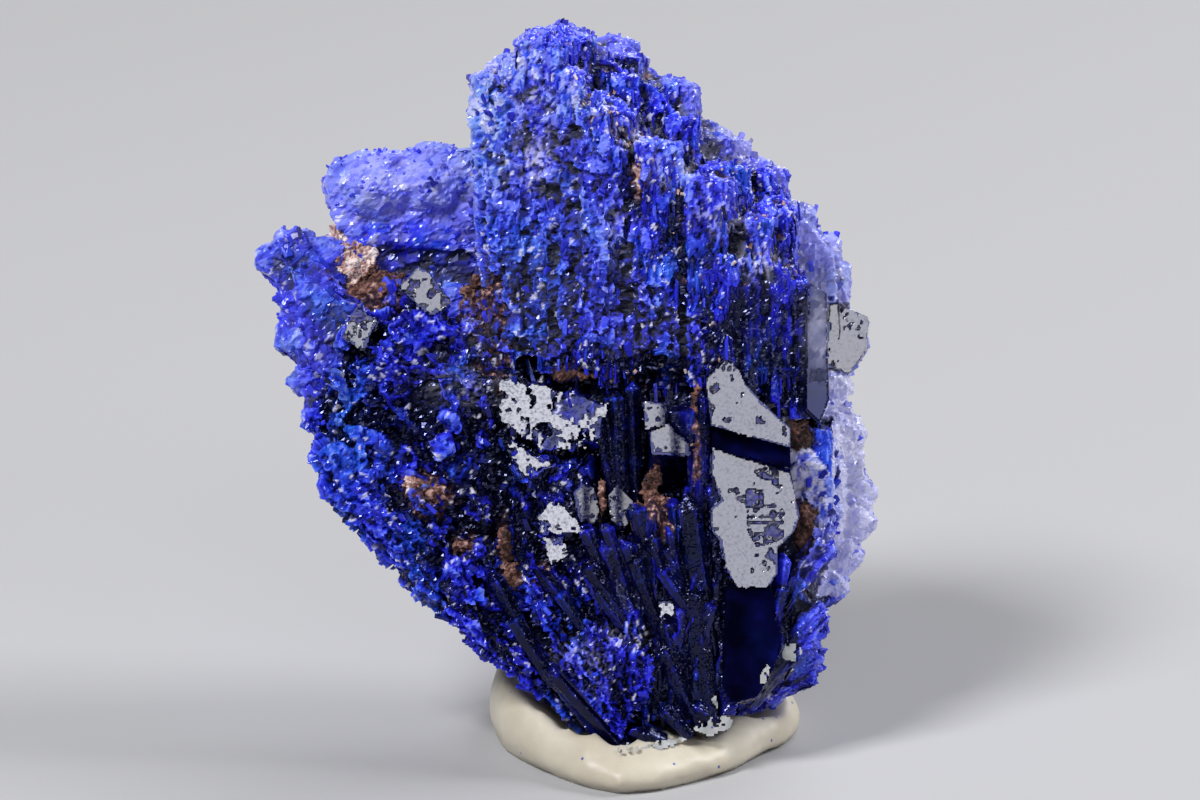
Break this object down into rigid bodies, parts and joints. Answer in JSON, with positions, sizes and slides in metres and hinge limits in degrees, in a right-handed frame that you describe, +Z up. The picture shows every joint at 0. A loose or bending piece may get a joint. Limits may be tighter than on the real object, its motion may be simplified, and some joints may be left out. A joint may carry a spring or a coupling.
{
  "type": "azurite specimen",
  "caption": "Fan-shaped cluster of intergrown deep-blue azurite crystals, standing upright with its root pressed into a soft lump of mineral tack.",
  "frame": {"origin": "middle of the tack pad's flat underside, on the surface it stands on", "axes": "+Z up; -Y towards the display side, where the mirror-faced crystals and the striated crown are; +X to the right as seen from there"},
  "size_m": [0.0255, 0.019, 0.0286],
  "materials": {
    "azurite": "gloss",
    "tack": "matte"
  },
  "bodies": {
    "root": {"azurite_cluster": "azurite", "tack_pad": "tack"}
  },
  "joints": []
}
